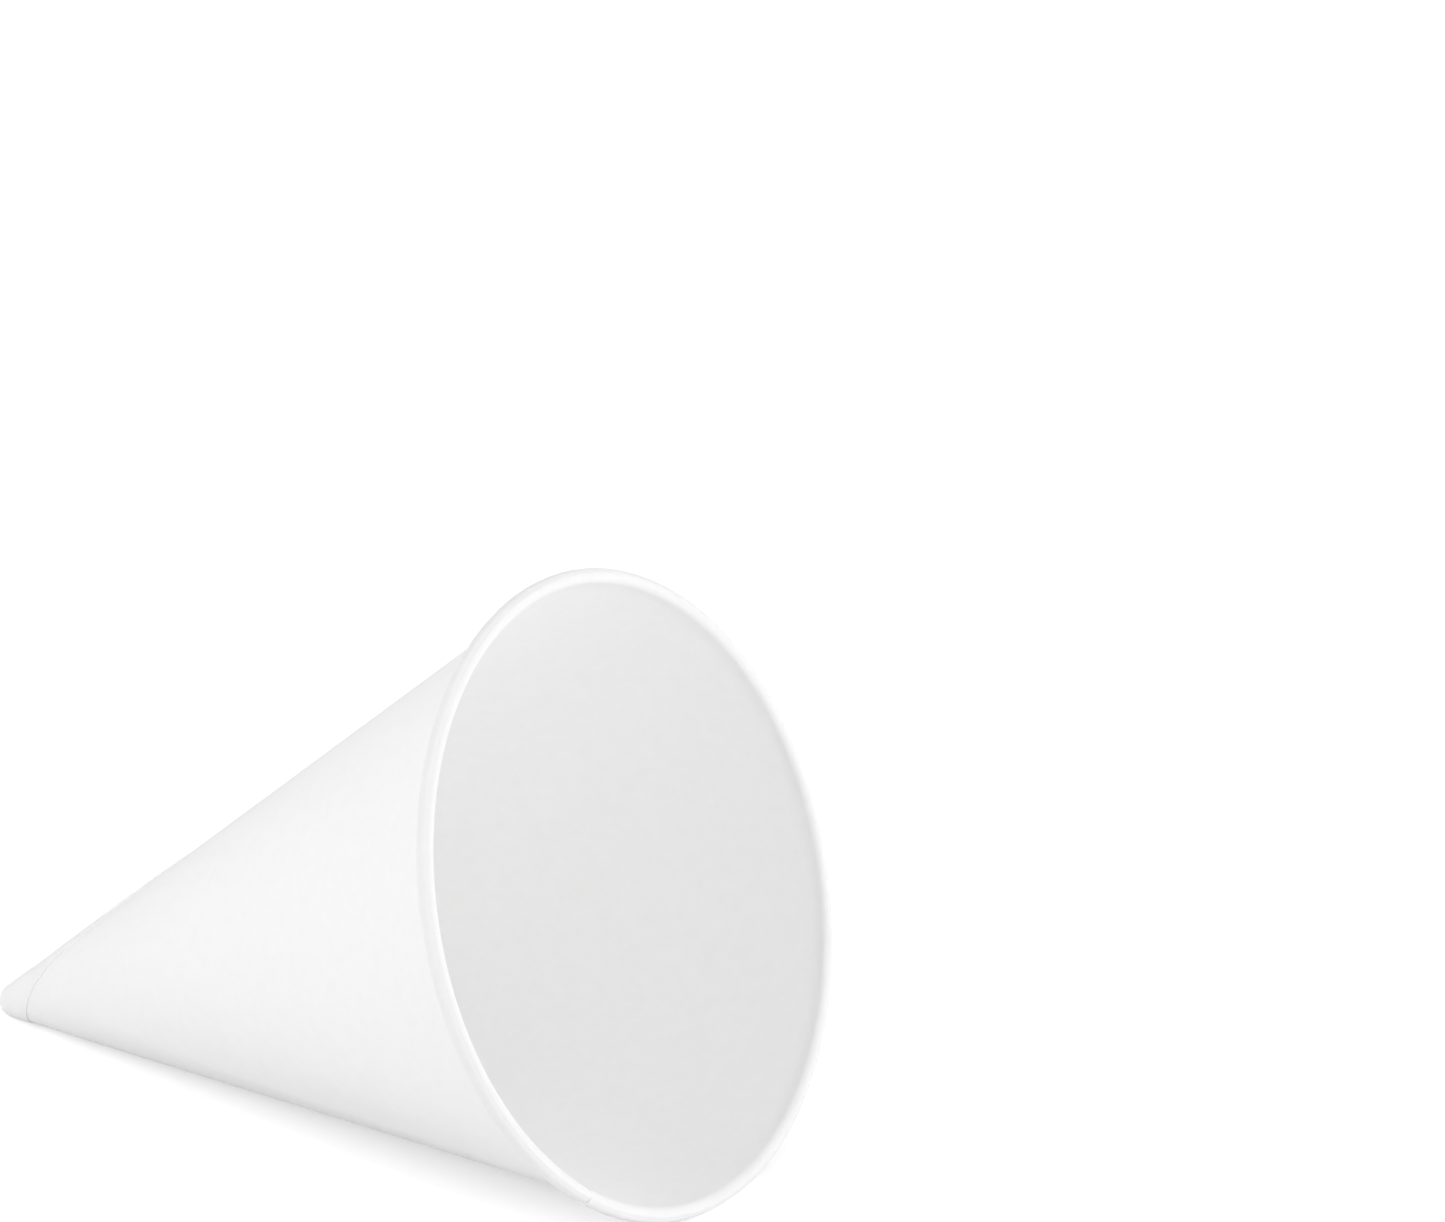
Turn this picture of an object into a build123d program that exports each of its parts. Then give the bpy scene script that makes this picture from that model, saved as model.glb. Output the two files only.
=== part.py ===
from build123d import *
import math
import os

# Cone paper cup, lying on its side: one paper blank wound into a cone, lapped and glued,
# wrapped over at the tip and rolled outwards at the mouth.
# Millimetres and degrees. The cup is built upright on its tip, then laid down, mouth towards +X.
# Angles round it start at the side that lies uppermost and grow towards -Y.

# Driving dimensions
mouth_diameter = 74.0        # over the rolled rim
cup_height = 95.0            # from the end of the tip to the lip
paper = 0.25                 # one ply
bead_diameter = 1.9          # the rolled rim's section
curl_sweep = 285.0           # how far the paper turns round in the rolled rim
skin_count = 16              # short flats that make up the curl's skin
hollow_count = 8             # short flats that make up its hollow side, out of sight
tip_radius = 2.05            # rounding of the wrapped tip
tip_floor = 1.2              # how far up the wrapped paper fills the tip
inner_edge_angle = 147.0     # where the blank starts, inside, at the rim
edge_offset = 6.6            # how far its straight edge passes from the middle of its round one
wrap_margin = 0.8            # how much further from the apex the corner of the wrapped tip lies
wrap_opening = 32.0          # angle that stays single where the wrap closes round the tip
lap_end = 1.6                # how far below the rim the lap's free edge ends, under the roll
edge_slope = 0.9             # width over which a ply comes down beside the edge that it covers
edge_step = 0.2              # how deep the blank's inner edge shows in the skin
edge_turns = 14              # equal turns of the lap's edges, from the wrapped tip to the rim
drop_turns = 8               # and of the inner edge's drop, higher up
cutter_spread = 1.35         # outer corners of the shape that cuts the lap, as a share of the radius there
cutter_margin = 2.0          # and that much further, well clear of the paper
cutter_middle = 0.4          # its inner corners, in the hollow, as such a share
cutter_plies = 6             # how many plies out it cuts
rest_flat = 1.2              # how far the soft rim is pressed flat where it lies

# Sizes that follow from them
bead_radius = bead_diameter / 2
bead_centre = (mouth_diameter / 2 - bead_radius, cup_height - bead_radius)
tip_centre = (0, tip_radius)
mandrel_tip_radius = tip_radius - 2 * paper
rise = bead_centre[1] - tip_centre[1]
spread = math.hypot(bead_centre[0], rise)
centre_angle = math.atan2(bead_centre[0], rise)
# The wall's inside is the line that touches the tip's inside and the inner side of the bead
half_angle = centre_angle - math.asin((bead_radius + mandrel_tip_radius) / spread)
sine, cosine = math.sin(half_angle), math.cos(half_angle)
apex_height = tip_centre[1] - mandrel_tip_radius / sine
rim_slant = (bead_centre[1] + bead_radius * sine - apex_height) / cosine
wall_angle = 180 - math.degrees(half_angle)      # direction from the bead's centre to the wall
# The blank is a little more than a half disc, so it goes round the cone about one and a half times
blank_turn = (180 + 2 * math.degrees(math.asin(edge_offset / rim_slant))) / sine
outer_edge_angle = inner_edge_angle + blank_turn - 720
wrap_slant = edge_offset + wrap_margin
# Lying down, it touches the ground with its tip and its rim
lying_angle = centre_angle - math.asin((tip_radius - bead_radius + rest_flat) / spread)
flat_angle = math.degrees(math.acos(1 - rest_flat / (bead_centre[0] * math.cos(lying_angle))))


def on_circle(centre, radius, degrees):
    angle = math.radians(degrees)
    return (centre[0] + radius * math.cos(angle), centre[1] + radius * math.sin(angle))


def corner(radius, degrees, height):
    angle = math.radians(degrees)
    return Vector(radius * math.cos(angle), radius * math.sin(angle), height)


def radius_at(slant, plies):
    """Radius of the wall, outside that many plies, at a slant distance from the apex."""
    return slant * sine + plies * paper / cosine


def height_at(slant):
    return apex_height + slant * cosine


def half_section(edges):
    return Plane.XZ * make_face(Wire(edges))


def tip_rounding(depth):
    """Three points of the tip's rounding at one depth of the paper, in plies, and its wall's foot."""
    down = -math.degrees(half_angle)
    size = mandrel_tip_radius + depth * paper
    return [on_circle(tip_centre, size, angle) for angle in (-90, (down - 90) / 2, down)]


def curl_points(depth, flats):
    """Points round the curl from the wall on, at one depth below its skin, in plies."""
    turns = [wall_angle - curl_sweep * step / flats for step in range(flats + 1)]
    return [on_circle(bead_centre, bead_radius - depth * paper, angle) for angle in turns]


def lines(points):
    return [Line(*pair) for pair in zip(points, points[1:])]


def first_ply():
    """Half section of one ply from the filled tip up the wall and round to the end of the curl."""
    rounding = tip_rounding(1)
    skin = curl_points(0, skin_count)
    hollow = curl_points(1, hollow_count)
    floor_radius = (tip_floor - apex_height) * math.tan(half_angle)
    inside = [rounding[0], (0, tip_floor), (floor_radius, tip_floor)]
    outside = hollow[::-1] + [rounding[-1]]
    return half_section([ThreePointArc(*rounding), *lines(inside + skin + outside)])


def second_ply():
    """Half section of the ply outside it, from the tip up to the lip's throat."""
    inner, outer = tip_rounding(0.5), tip_rounding(2)
    throat = [curl_points(depth, 1)[0] for depth in (0.5, 2)]
    wall = [inner[-1], *throat, outer[-1]]
    return half_section([ThreePointArc(*inner), *lines(wall), ThreePointArc(*outer), Line(outer[0], inner[0])])


def bead_disc(radius):
    return half_section([CenterArc(bead_centre, radius, 0, 360)])


def turn(profile, start=0, angle=360):
    """Solid made by turning a half section round the cup's axis."""
    return revolve(Rot(0, 0, start) * profile, Axis.Z, angle)


def winding(slant):
    """Angle that a straight edge of the blank turns round the cone, from the rim to there."""
    far = math.acos(edge_offset / rim_slant)
    near = math.acos(edge_offset / slant)
    return math.degrees((far - near) / sine)


def outer_edge(slant):
    return outer_edge_angle + winding(slant)


def inner_edge(slant):
    return inner_edge_angle - winding(slant)


def opening(slant):
    """Angle that the second ply leaves free. It narrows towards the tip, and never closes there."""
    over = inner_edge(slant) - outer_edge(slant) - wrap_opening
    return wrap_opening + (over + math.hypot(over, wrap_opening / 2)) / 2


def slope_angle(radius):
    return math.degrees(edge_slope / radius)


def by_turns(first, last, count):
    """Slant distances between which the blank's edge turns by equal angles."""
    start, end = (math.acos(edge_offset / slant) for slant in (first, last))
    return [edge_offset / math.cos(start + (end - start) * step / count) for step in range(count + 1)]


def free_section(slant):
    """Section of the space that the second ply leaves free: a step on one side, a slope on the other."""
    height, surface = height_at(slant), radius_at(slant, 1)
    slope = slope_angle(surface)
    step, edge = outer_edge(slant), outer_edge(slant) + opening(slant)
    reach = cutter_spread * surface + cutter_margin
    turns = [step + (edge + 2 * slope - step) * third / 3 for third in range(4)]
    return Wire.make_polygon([
        corner(cutter_middle * surface, (step + edge) / 2, height),
        corner(cutter_middle * surface, step, height),
        *[corner(reach, turned, height) for turned in turns],
        corner(surface + 3 * paper, edge + 2 * slope, height),
        corner(surface - paper, edge - 2 * slope, height),
    ])


def around_first_ply(low, top):
    """The space round the first ply between two slant distances."""
    corners = [(low, 1), (top, 1), (top, cutter_plies), (low, cutter_plies), (low, 1)]
    return turn(half_section(lines([(radius_at(slant, plies), height_at(slant)) for slant, plies in corners])))


def free_space():
    """The space that the second ply leaves free, from the wrapped tip to under the rolled rim."""
    top = rim_slant - lap_end
    slants = [wrap_slant - paper] + by_turns(wrap_slant, top, edge_turns) + [rim_slant + paper]
    return Solid.make_loft([free_section(slant) for slant in slants], True) & around_first_ply(wrap_slant, top)


def drop_section(slant):
    """Section of the shallow drop beside the blank's inner edge, inside the cup."""
    height, skin, edge = height_at(slant), radius_at(slant, 0), inner_edge(slant)
    return Wire.make_polygon([
        corner(skin + edge_step, edge, height),
        corner(skin - edge_step, edge, height),
        corner(skin - edge_step, edge - 2 * slope_angle(skin), height),
    ])


def inside_drop():
    """The drop beside the blank's inner edge, inside the cup."""
    slants = by_turns(2 * wrap_slant, rim_slant + paper, drop_turns)
    return Solid.make_loft([drop_section(slant) for slant in slants], True)


def rim_drop():
    """The same drop round the rolled rim, deepest at the edge."""
    skin, floor = (curl_points(plies, 2) for plies in (-1, 2))
    shell = half_section([
        ThreePointArc(*floor),
        Line(floor[-1], skin[-1]),
        ThreePointArc(*skin),
        Line(skin[0], floor[0]),
    ])
    start = inner_edge_angle - slope_angle(bead_centre[0])
    depths = {start: 0.1 * edge_step, inner_edge_angle: edge_step}
    core = loft([Rot(0, 0, angle) * bead_disc(bead_radius - depth) for angle, depth in depths.items()])
    return turn(shell, start, inner_edge_angle - start) - core


def wound_wall():
    """Two plies, and one where the blank doesn't lap over itself."""
    return turn(first_ply()) + turn(second_ply()) - free_space()


def pressed_roll():
    """The roll is pressed together, with no hollow left, along the flat that it lies on."""
    reach = flat_angle + slope_angle(bead_centre[0])
    return turn(bead_disc(bead_radius - paper / 2), 180 - reach, 2 * reach)


def standing_cup():
    return wound_wall() + pressed_roll() - inside_drop() - rim_drop()


def lay_down(cup):
    """The cup on its tip and rim, with the rim's small flat on the ground."""
    lean, turned = math.sin(lying_angle), math.cos(lying_angle)
    drop = tip_centre[1] * (1 - lean)
    lying = Plane(origin=(0, 0, drop), x_dir=(-lean, 0, turned), z_dir=(turned, 0, lean)) * cup
    box = lying.bounding_box()
    middle = box.center()
    lying = Pos(-middle.X, -middle.Y, 0) * lying
    below = (Align.CENTER, Align.CENTER, Align.MAX)
    return lying - Box(2 * box.size.X, 2 * box.size.Y, box.size.Z, align=below)


def main():
    os.makedirs("parts", exist_ok=True)
    cup = lay_down(standing_cup())
    export_step(cup, "parts/cone_cup.step")


if __name__ == "__main__":
    main()
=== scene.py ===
import math

import bmesh
import bpy
import numpy as np
from mathutils import Matrix, Vector, noise


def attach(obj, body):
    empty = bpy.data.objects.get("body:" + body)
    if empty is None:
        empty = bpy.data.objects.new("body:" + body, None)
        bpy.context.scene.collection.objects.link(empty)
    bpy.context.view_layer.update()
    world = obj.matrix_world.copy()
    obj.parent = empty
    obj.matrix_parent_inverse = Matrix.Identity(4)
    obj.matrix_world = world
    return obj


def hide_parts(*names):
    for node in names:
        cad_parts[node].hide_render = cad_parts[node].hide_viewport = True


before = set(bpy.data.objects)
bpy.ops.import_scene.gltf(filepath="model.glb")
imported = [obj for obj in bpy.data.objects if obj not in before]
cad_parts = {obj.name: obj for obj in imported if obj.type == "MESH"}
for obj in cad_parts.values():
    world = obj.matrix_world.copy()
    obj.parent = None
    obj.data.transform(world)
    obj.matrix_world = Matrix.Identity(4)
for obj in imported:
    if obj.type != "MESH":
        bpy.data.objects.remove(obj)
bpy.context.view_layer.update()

# A cone-shaped paper cup that lies on its side on a white floor.
# Sizes are in millimetres and degrees, as in the CAD, where nothing else is said. The mesh, the
# lamps and the floor are in metres.
# The cup is worked out standing on its tip. Angles round it start at the side that lies
# uppermost, and grow towards the camera's side.
MM = 0.001

# The cup
mouth_diameter = 74.0        # over the rolled rim
cup_height = 95.0            # from the end of the tip to the lip
bead_diameter = 1.9          # the rolled rim's section
curl_sweep = 285.0           # how far the paper turns round in the rolled rim
tip_radius = 2.05            # rounding of the wrapped tip
tip_floor = 1.2              # how far up the wrapped paper fills the tip
wall = 0.5                   # both plies of the lap
ply = 0.2                    # how far one ply's edge stands over the next
inner_edge_angle = 139.7     # where the blank starts, inside, at the rim
outer_edge_angle = -24.2     # where its other straight edge ends, outside, under the roll
edge_offset = 6.6            # how far its straight edge passes from the middle of its round one
gather = (7.0, 16.0)         # slant distances between which the third ply draws in to the tip
tight = 0.55                 # share of an edge's height that is left at the tip, where the wrap is tight
loosens = (10.0, 30.0)       # slant distances between which it grows to its full height
throat = 1.0                 # length of wall, under the roll, over which the lap ends

# The fold that runs from the wrap's corner down to the end of the tip, as shares of its full depth
fold_round = 0.6             # how deep it is where its reach ends
fold_reach = (0.3, 1.2)      # shares of the tip's rounding between which it grows to that
fold_foot = 0.7              # share of the rounding whose depth it starts with at the wall's foot
fold_wall = 0.4              # how much deeper it gets from there up the wall

# The rolled rim's finer form
groove_angle = 52.0          # where in the roll's section a shallow groove runs round it
groove_depth, groove_width = 0.045, 9.0
seam_at_lip = 0.25           # how much of the seam's step is left at the lip
lip_outer, lip_inner = (30.0, 75.0), (120.0, 160.0)   # angles between which it fades, beside the lip

# Softness of the paper
mouth_oval = 0.0128          # how much the mouth is out of round
oval_angle = 32.8            # where round the cup it is narrowest
wave_height = 0.02           # slow waves in the paper
wave_length = 16.0
waves_start = (10.0, 30.0)   # heights above the tip between which they come in
waves_calm = (80.0, 92.0)    # heights between which they calm down below the stiffer rim
calm_share = 0.7             # and by how much
press = 0.12                 # how far the soft rim gives way where it lies
lying_angles = (15.0, 30.0)  # between which the axis leans over the floor
halvings = 40                # of that range, to find the angle

# Sizes that follow from them
bead_radius = bead_diameter / 2
bead_centre = (mouth_diameter / 2 - bead_radius, cup_height - bead_radius)
tip_centre = (0, tip_radius)
mandrel_tip_radius = tip_radius - wall
rise = bead_centre[1] - tip_radius
spread = math.hypot(bead_centre[0], rise)
half_angle = math.atan2(bead_centre[0], rise) - math.asin((bead_radius + mandrel_tip_radius) / spread)
sine, cosine = math.sin(half_angle), math.cos(half_angle)
apex_height = tip_radius - mandrel_tip_radius / sine
rim_slant = (bead_centre[1] + bead_radius * sine - apex_height) / cosine
wall_angle = 180 - math.degrees(half_angle)      # direction from the bead's centre to the wall
nearest_slant = edge_offset * 1.003  # just beyond the point where the blank's edge is nearest to the apex

# The mesh
columns = 240
wall_step = 1.4              # longest step up the wall
outer_turn, inner_turn = 1.5, 3.0     # longest turn of the blank's edge from one row to the next
curl_rows, hollow_rows, tip_rows = 66, 14, 10
throat_shares = (0.5, 1)     # rows where the lap ends, as shares of the throat
foot_shares = (0.75, 0.5, 0.25, 0)    # rows inside, from the wall's lowest one down to the filled tip
floor_shares = (0.8, 0.5, 0.2)        # rows on the filled tip, as shares of its radius
merge_distance, thin_face = 2e-7, 1e-7     # in metres
sharp_angle = 35.0
turned = np.linspace(0, 360, columns + 1)

# The camera, fitted to the cup's outline in the photograph
photo_width = 1445           # in pixels, as is the focal length
camera_focal_pixels = 11369.0
sensor_width = 36.0
camera_distance = 1300.0
camera_azimuth, camera_elevation = 33.07, 20.63
camera_clip = (0.1, 20)      # in metres
aim = Vector((1.0, 0.0, 20.96))       # the point that the camera was fitted about
aim_offset = (40.92, 37.45)           # how far to its right and above it the picture's middle lies
tip_place = -48.84                    # where along the floor the middle of the tip's rounding lies

# Finish and light
paper_dark, paper_light = (0.917, 0.917, 0.915), (0.939, 0.939, 0.937)
see_through = 0.4            # how far light spreads in the thin paper
floor_tone = 0.86
floor_lift = 0.45            # how much the camera sees on top of the floor's light and shade
floor_reach, floor_drop = 3.0, 0.00001     # in metres: half its side, and its depth below the cup
sky_light = 0.48
lit_point = (0, 0, 0.03)     # where the lamps point
lamps = [                    # name, place, side, and power for each square metre
    ("left", (-1.1, -0.8, 0.9), 1.0, 3.4),
    ("right", (1.5, -0.5, 0.5), 0.9, 8.0),
    ("top", (0.0, -0.1, 1.6), 1.2, 1.5),
    ("mouth", (1.25, 0.65, 0.55), 0.9, 8.8),
    ("low_left", (-0.7, -1.28, 0.56), 0.65, 14.2),
]


def on_circle(centre, radius, degrees):
    angle = math.radians(degrees)
    return centre[0] + radius * math.cos(angle), centre[1] + radius * math.sin(angle)


def height_at(slant):
    return apex_height + slant * cosine


def winding(slant):
    """Angle that the blank's straight edge turns round the cone, from the rim to there."""
    near = math.acos(min(1.0, edge_offset / slant))
    return math.degrees((math.acos(edge_offset / rim_slant) - near) / sine)


def smooth(x, low, high):
    """0 below low, 1 above high, and a smooth rise between them."""
    t = np.clip((np.asarray(x, float) - low) / (high - low), 0, 1)
    return t * t * (3 - 2 * t)


def wall_slants(first, last, turn):
    """Slant distances up the wall, close together where the blank's edge turns fast."""
    slants = [first]
    while slants[-1] < last:
        s = slants[-1]
        pace = s * math.sqrt(s * s - edge_offset ** 2) / edge_offset * math.radians(turn)
        slants.append(s + min(wall_step, pace))
    scale = (last - first) / (slants[-1] - first)
    return [first + (s - first) * scale for s in slants]


def ramp(radius):
    """Angle over which a ply comes down straight from the edge of the one below it."""
    return math.degrees(math.acos(radius / (radius + ply)))


def row(seam, radius, height):
    """A ring of points from the seam round to the seam again: angle, radius and height of each."""
    shape = turned.shape
    return np.radians(seam + turned), np.broadcast_to(radius, shape), np.broadcast_to(height, shape)


# Outside of the cup

def plies_over(slant):
    """How many plies lie over the first one, round from the outer edge."""
    width = ramp(slant * sine + wall)
    opening = inner_edge_angle - outer_edge_angle - 2 * winding(slant)
    return sum(smooth(turned, cover - width, cover) for cover in (opening, opening + 360))


def edge_height(slant):
    """How far a ply's edge stands over the next, less towards the tip, where the wrap is tight."""
    return ply * (tight + (1 - tight) * float(smooth(slant, *loosens)))


def drawn_in(slant):
    """How far the plies draw together towards the tip."""
    return edge_height(slant) * (1 - smooth(slant, *gather))


def outer_row(slant):
    """The wall's outside at one slant distance."""
    out = (wall + edge_height(slant) * (plies_over(slant) - 1) - drawn_in(slant)) / cosine
    return row(outer_edge_angle + winding(slant), slant * sine + out, height_at(slant))


def tip_outside():
    """Rings from the end of the tip up to the corner of the wrap, with the fold that runs down from it."""
    seam = outer_edge_angle + winding(nearest_slant)
    fold = edge_height(nearest_slant) * (2 - plies_over(nearest_slant))
    down = -math.degrees(half_angle)
    foot_slant = (on_circle(tip_centre, tip_radius, down)[1] - apex_height) / cosine
    rings = []
    for step in range(1, tip_rows + 1):
        share = step / tip_rows
        radius, height = on_circle(tip_centre, tip_radius, -90 + (90 + down) * share)
        rings.append(row(seam, radius - fold * fold_round * smooth(share, *fold_reach), height))
    for step in range(1, tip_rows):
        share = step / tip_rows
        slant = foot_slant + (nearest_slant - foot_slant) * share
        depth = fold_round * float(smooth(fold_foot, *fold_reach)) + fold_wall * share
        out = (wall - fold * depth) / cosine
        rings.append(row(seam, slant * sine + out, height_at(slant)))
    return rings


def throat_row(share):
    """The wall's outside where it runs up under the roll, and the lap ends."""
    slant = rim_slant - throat + throat * share
    lap = wall / 2 + ply * (plies_over(rim_slant) - 1)
    out = (wall / 2 + lap * (1 - share)) / cosine
    return row(outer_edge_angle, slant * sine + out, height_at(slant))


def outside():
    """Rings from the end of the tip up to the throat."""
    slants = wall_slants(nearest_slant, rim_slant - throat, outer_turn)
    walls = [outer_row(slant) for slant in slants]
    return tip_outside() + walls + [throat_row(share) for share in throat_shares]


# Inside of the cup, and the roll

def skin_drop(radius):
    """How far the skin drops before the blank's inner edge, round from that edge."""
    return ply * np.clip((turned - 360) / ramp(radius) + 1, 0, 1) ** 2


def curl_row(angle, depth):
    """The roll at an angle of its section, at a depth below its skin. Its seam shows least at the lip."""
    groove = groove_depth * math.exp(-((angle - groove_angle) / groove_width) ** 2)
    beside_lip = abs(float(smooth(angle, *lip_outer)) - float(smooth(angle, *lip_inner)) - 1)
    seam = seam_at_lip + (1 - seam_at_lip) * beside_lip
    size = bead_radius - depth - groove - skin_drop(bead_centre[0]) * seam
    return row(inner_edge_angle, *on_circle(bead_centre, size, angle))


def inner_row(slant):
    """The wall's inside at one slant distance."""
    radius = slant * sine
    seam = inner_edge_angle - winding(slant)
    return row(seam, radius + skin_drop(radius) / cosine, height_at(slant))


def roll():
    """Rings from the throat round the hollow side to the paper's end, and back round the skin."""
    hollow = [wall_angle - curl_sweep * step / hollow_rows for step in range(1, hollow_rows + 1)]
    skin = [wall_angle - curl_sweep * step / curl_rows for step in range(curl_rows, -1, -1)]
    return [curl_row(angle, wall / 2) for angle in hollow] + [curl_row(angle, 0) for angle in skin]


def inside():
    """Rings from the throat down to the filled tip."""
    slants = wall_slants(nearest_slant, rim_slant, inner_turn)[:-1]
    rings = [inner_row(slant) for slant in reversed(slants)]
    floor_slant = (tip_floor - apex_height) / cosine
    seam = inner_edge_angle - winding(nearest_slant)
    for share in foot_shares:
        slant = floor_slant + (nearest_slant - floor_slant) * share
        rings.append(row(seam, slant * sine, height_at(slant)))
    for share in floor_shares:
        rings.append(row(seam, floor_slant * sine * share, tip_floor))
    return rings


# Shape of the real, soft cup

def soften(points):
    """The mouth a little out of round, and slow waves in the paper."""
    x, y, z = points.T
    angle = np.arctan2(y, x)
    scale = 1 - mouth_oval * np.cos(2 * (angle - math.radians(oval_angle)))
    waves = np.array([noise.noise(Vector(point) / wave_length) for point in points])
    waves *= wave_height * smooth(z, *waves_start) * (1 - calm_share * smooth(z, *waves_calm))
    scale = scale + waves / np.maximum(np.hypot(x, y), tip_radius)
    return np.column_stack([x * scale, y * scale, z])


def lay(points, angle):
    """The cup on its side, with the middle of its tip's rounding where the CAD has it."""
    lean, upright = math.sin(angle), math.cos(angle)
    x, y, z = points[:, 0], points[:, 1], points[:, 2] - tip_radius
    return np.column_stack([upright * z - lean * x + tip_place, -y, tip_radius + upright * x + lean * z])


def lying(points):
    """The cup at rest: its rim is down by as much as it gives way, and nothing is under the floor."""
    rim = points[points[:, 2] > cup_height - 2 * bead_diameter]
    low, high = (math.radians(angle) for angle in lying_angles)
    for _ in range(halvings):
        angle = (low + high) / 2
        if lay(rim, angle)[:, 2].min() < -press:
            low = angle
        else:
            high = angle
    placed = lay(points, angle)
    placed[:, 2] = np.maximum(placed[:, 2], 0)
    return placed


# Mesh of the cup

def strip(first, second):
    """Faces between two rings, and across the step where each meets itself."""
    pairs = [(i, (i + 1) % (columns + 1)) for i in range(columns + 1)]
    return [(first + i, first + j, second + j, second + i) for i, j in pairs]


def fan(pole, ring, outward):
    """Faces from a point to the ring round it."""
    pairs = [(ring + i, ring + (i + 1) % (columns + 1)) for i in range(columns + 1)]
    return [(pole, b, a) if outward else (pole, a, b) for a, b in pairs]


def shell():
    """Points and faces of the paper's whole surface, outside and inside."""
    outer, inner = outside(), roll() + inside()
    rings = outer + inner
    count = columns + 1
    points = [np.column_stack([r * np.cos(a), r * np.sin(a), h]) for a, r, h in rings]
    points = np.vstack(points + [np.array([[0, 0, 0], [0, 0, tip_floor]])])
    faces = []
    for k in range(len(rings) - 1):
        if k != len(outer) - 1:
            faces += strip(k * count, (k + 1) * count)
    # Under the roll the rings of the outside meet those of the inside, which start at the other edge
    shift = round((inner_edge_angle - outer_edge_angle) / 360 * columns)
    under, over = (len(outer) - 1) * count, len(outer) * count
    for i in range(columns):
        here, beside = under + (i + shift) % columns, under + (i + 1 + shift) % columns
        faces.append((here, beside, over + i + 1, over + i))
    # The last face there closes the step where the rings of the inside meet themselves
    faces.append((under + shift, over, over + columns))
    poles = len(rings) * count
    faces += fan(poles, 0, True) + fan(poles + 1, (len(rings) - 1) * count, False)
    return points, faces


def make_cup():
    """The cup as one closed mesh, at rest on the floor."""
    points, faces = shell()
    points = lying(soften(points)) * MM
    mesh = bpy.data.meshes.new("paper_cup")
    mesh.from_pydata(points.tolist(), [], faces)
    cup = bpy.data.objects.new("paper_cup", mesh)
    bpy.context.scene.collection.objects.link(cup)
    work = bmesh.new()
    work.from_mesh(mesh)
    bmesh.ops.remove_doubles(work, verts=work.verts, dist=merge_distance)
    bmesh.ops.dissolve_degenerate(work, edges=work.edges, dist=thin_face)
    bmesh.ops.recalc_face_normals(work, faces=work.faces)
    if work.calc_volume(signed=True) < 0:
        bmesh.ops.reverse_faces(work, faces=work.faces)
    for face in work.faces:
        face.smooth = True
    work.to_mesh(mesh)
    work.free()
    mesh.set_sharp_from_angle(angle=math.radians(sharp_angle))
    return cup


# Materials

def node(tree, kind, **values):
    """A new node, with values for its sockets or, where it has no such socket, its own settings."""
    made = tree.nodes.new(kind)
    for name, value in values.items():
        if name in made.inputs:
            made.inputs[name].default_value = value
        else:
            setattr(made, name, value)
    return made


def blank_material(name):
    material = bpy.data.materials.new(name)
    material.use_nodes = True
    tree = material.node_tree
    tree.nodes.clear()
    return material, tree


def paper_material():
    """Matt white cup paper: faint clouds in the sheet, its short fibres, and light that passes through."""
    material, tree = blank_material("paper")
    link = tree.links.new
    # The scales are for coordinates in metres, and so is the bump's distance
    place = tree.nodes.new("ShaderNodeTexCoord")
    clouds = node(tree, "ShaderNodeTexNoise", Scale=600.0, Detail=5.0, Roughness=0.7)
    fibres = node(tree, "ShaderNodeTexNoise", Scale=2600.0, Detail=4.0, Roughness=0.6)
    link(place.outputs["Object"], clouds.inputs["Vector"])
    link(place.outputs["Object"], fibres.inputs["Vector"])
    tone = node(tree, "ShaderNodeMapRange", **{"From Min": 0.3, "From Max": 0.7})
    link(clouds.outputs["Fac"], tone.inputs["Value"])
    # A colour mix has its colours at sockets 6 and 7, and its result at 2
    colour = node(tree, "ShaderNodeMix", data_type="RGBA")
    colour.inputs[6].default_value = (*paper_dark, 1)
    colour.inputs[7].default_value = (*paper_light, 1)
    link(tone.outputs["Result"], colour.inputs[0])
    bump = node(tree, "ShaderNodeBump", Strength=0.25, Distance=0.00002)
    link(fibres.outputs["Fac"], bump.inputs["Height"])
    surface = node(tree, "ShaderNodeBsdfPrincipled", **{
        "Roughness": 0.85,
        "Specular IOR Level": 0.25,
        "IOR": 1.45,
        "Subsurface Weight": 0.75,
        "Subsurface Radius": (1.0, 1.0, 1.0),
        "Subsurface Scale": see_through * MM,
    })
    link(colour.outputs[2], surface.inputs["Base Color"])
    link(bump.outputs["Normal"], surface.inputs["Normal"])
    out = tree.nodes.new("ShaderNodeOutputMaterial")
    link(surface.outputs["BSDF"], out.inputs["Surface"])
    return material


def seen_rays(tree):
    """1 for the rays of the camera, of gloss and of glass, and 0 for those that light the cup."""
    rays = tree.nodes.new("ShaderNodeLightPath")
    total = rays.outputs["Is Camera Ray"]
    for kind in ("Is Glossy Ray", "Is Transmission Ray"):
        add = node(tree, "ShaderNodeMath", operation="ADD", use_clamp=True)
        tree.links.new(total, add.inputs[0])
        tree.links.new(rays.outputs[kind], add.inputs[1])
        total = add.outputs[0]
    return total


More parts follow.
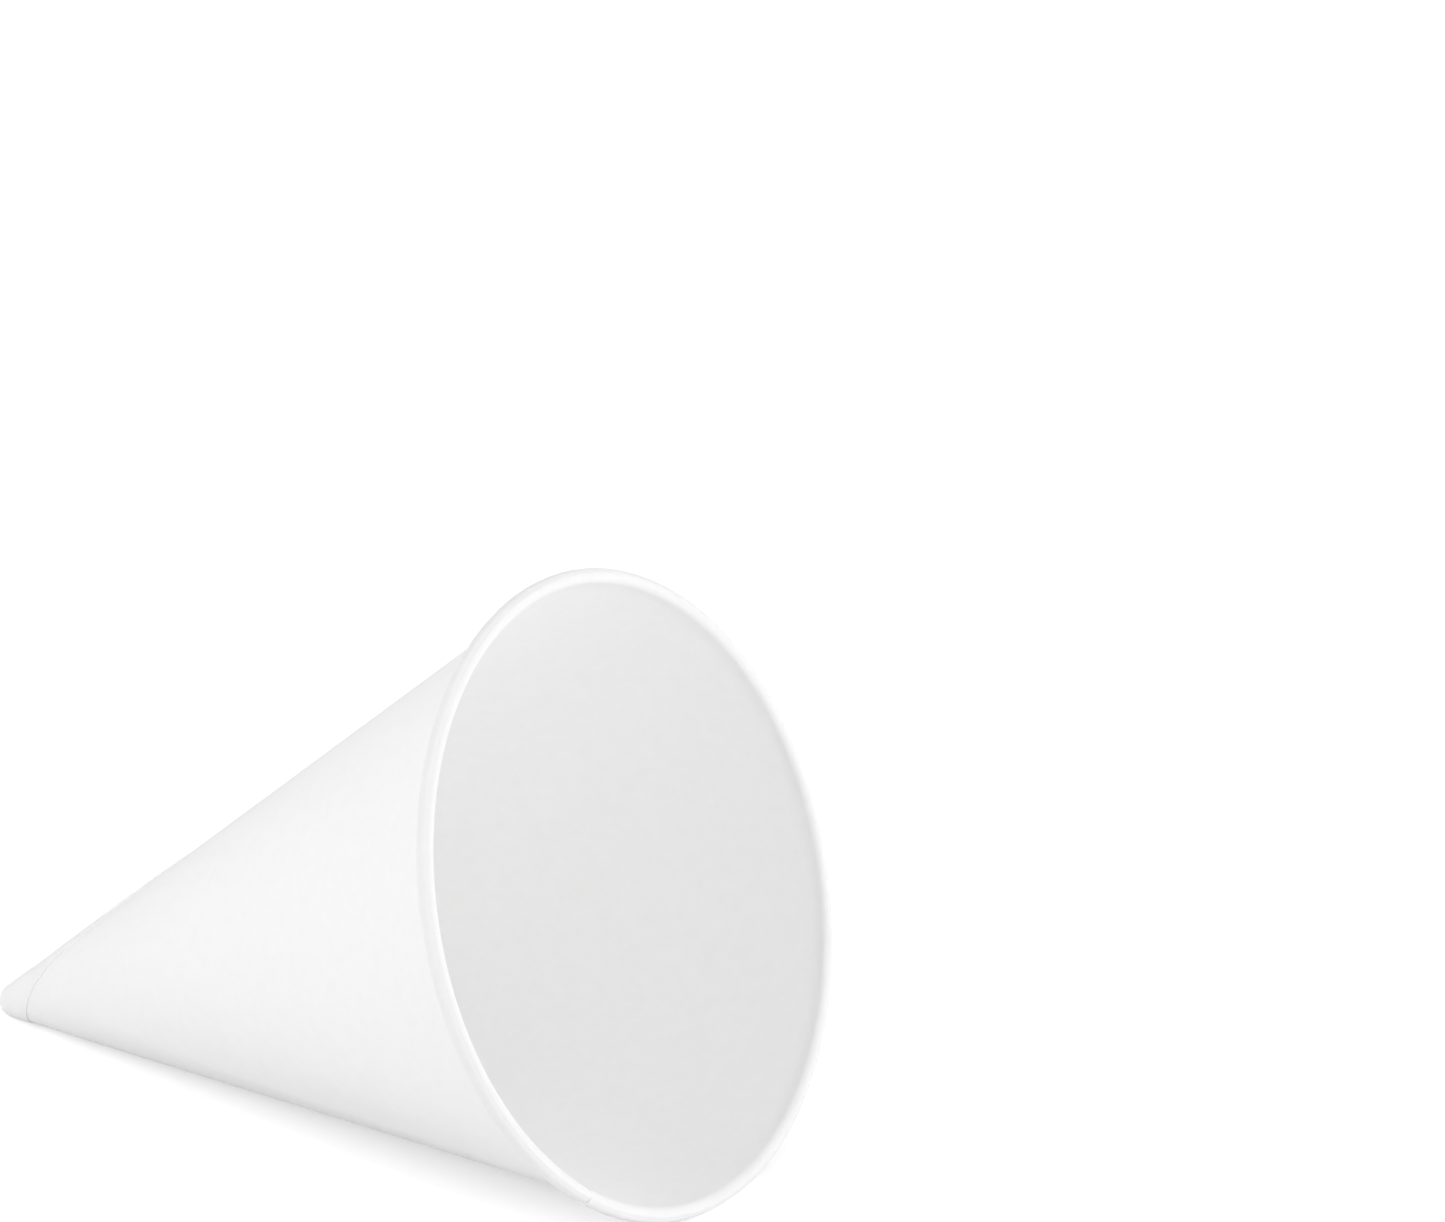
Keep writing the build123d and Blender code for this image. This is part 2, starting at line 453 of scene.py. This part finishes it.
def floor_material():
    """White floor that the camera sees almost as paper white, and that keeps the cup's shadow."""
    material, tree = blank_material("floor")
    link = tree.links.new
    plain = node(tree, "ShaderNodeBsdfDiffuse", Color=(floor_tone, floor_tone, floor_tone, 1))
    glow = node(tree, "ShaderNodeEmission", Color=(1, 1, 1, 1))
    lift = node(tree, "ShaderNodeMath", operation="MULTIPLY")
    lift.inputs[1].default_value = floor_lift
    link(seen_rays(tree), lift.inputs[0])
    link(lift.outputs[0], glow.inputs["Strength"])
    both = tree.nodes.new("ShaderNodeAddShader")
    link(plain.outputs["BSDF"], both.inputs[0])
    link(glow.outputs["Emission"], both.inputs[1])
    out = tree.nodes.new("ShaderNodeOutputMaterial")
    link(both.outputs["Shader"], out.inputs["Surface"])
    return material


def make_world():
    """The camera sees white, and the cup gets a soft, even sky."""
    world = bpy.data.worlds.new("studio")
    bpy.context.scene.world = world
    world.use_nodes = True
    tree = world.node_tree
    tree.nodes.clear()
    link = tree.links.new
    sky = node(tree, "ShaderNodeBackground", Color=(1, 1, 1, 1), Strength=sky_light)
    white = node(tree, "ShaderNodeBackground", Color=(1, 1, 1, 1), Strength=1.0)
    mix = tree.nodes.new("ShaderNodeMixShader")
    link(seen_rays(tree), mix.inputs[0])
    link(sky.outputs["Background"], mix.inputs[1])
    link(white.outputs["Background"], mix.inputs[2])
    out = tree.nodes.new("ShaderNodeOutputWorld")
    link(mix.outputs["Shader"], out.inputs["Surface"])


def add_lamp(name, place, size, power):
    """A soft square lamp that points at the cup, and that the camera doesn't see."""
    data = bpy.data.lights.new(name, "AREA")
    data.shape = "SQUARE"
    data.size = size
    data.energy = power * size * size
    lamp = bpy.data.objects.new(name, data)
    bpy.context.scene.collection.objects.link(lamp)
    lamp.location = place
    lamp.rotation_euler = (Vector(lit_point) - Vector(place)).to_track_quat("-Z", "Y").to_euler()
    lamp.visible_camera = False


def make_floor():
    mesh = bpy.data.meshes.new("floor")
    signs = [(-1, -1), (1, -1), (1, 1), (-1, 1)]
    mesh.from_pydata([(x * floor_reach, y * floor_reach, 0) for x, y in signs], [], [(0, 1, 2, 3)])
    floor = bpy.data.objects.new("floor", mesh)
    bpy.context.scene.collection.objects.link(floor)
    floor.location.z = -floor_drop
    mesh.materials.append(floor_material())


def make_camera():
    a, e = math.radians(camera_azimuth), math.radians(camera_elevation)
    back = Vector((math.sin(a) * math.cos(e), -math.cos(a) * math.cos(e), math.sin(e)))
    right = Vector((math.cos(a), math.sin(a), 0))
    up = back.cross(right)
    data = bpy.data.cameras.new("camera")
    data.sensor_fit = "HORIZONTAL"
    data.sensor_width = sensor_width
    data.lens = camera_focal_pixels * sensor_width / photo_width
    data.clip_start, data.clip_end = camera_clip
    camera = bpy.data.objects.new("camera", data)
    bpy.context.scene.collection.objects.link(camera)
    place = aim + right * aim_offset[0] + up * aim_offset[1] + back * camera_distance
    camera.matrix_world = Matrix.Translation(place * MM) @ Matrix((right, up, back)).transposed().to_4x4()
    bpy.context.scene.camera = camera


cup = make_cup()
cup.data.materials.append(paper_material())
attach(cup, "root")
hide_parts("cone_cup")

make_floor()
make_world()
for name, place, size, power in lamps:
    add_lamp(name, place, size, power)
make_camera()
bpy.context.scene.view_settings.view_transform = "Standard"
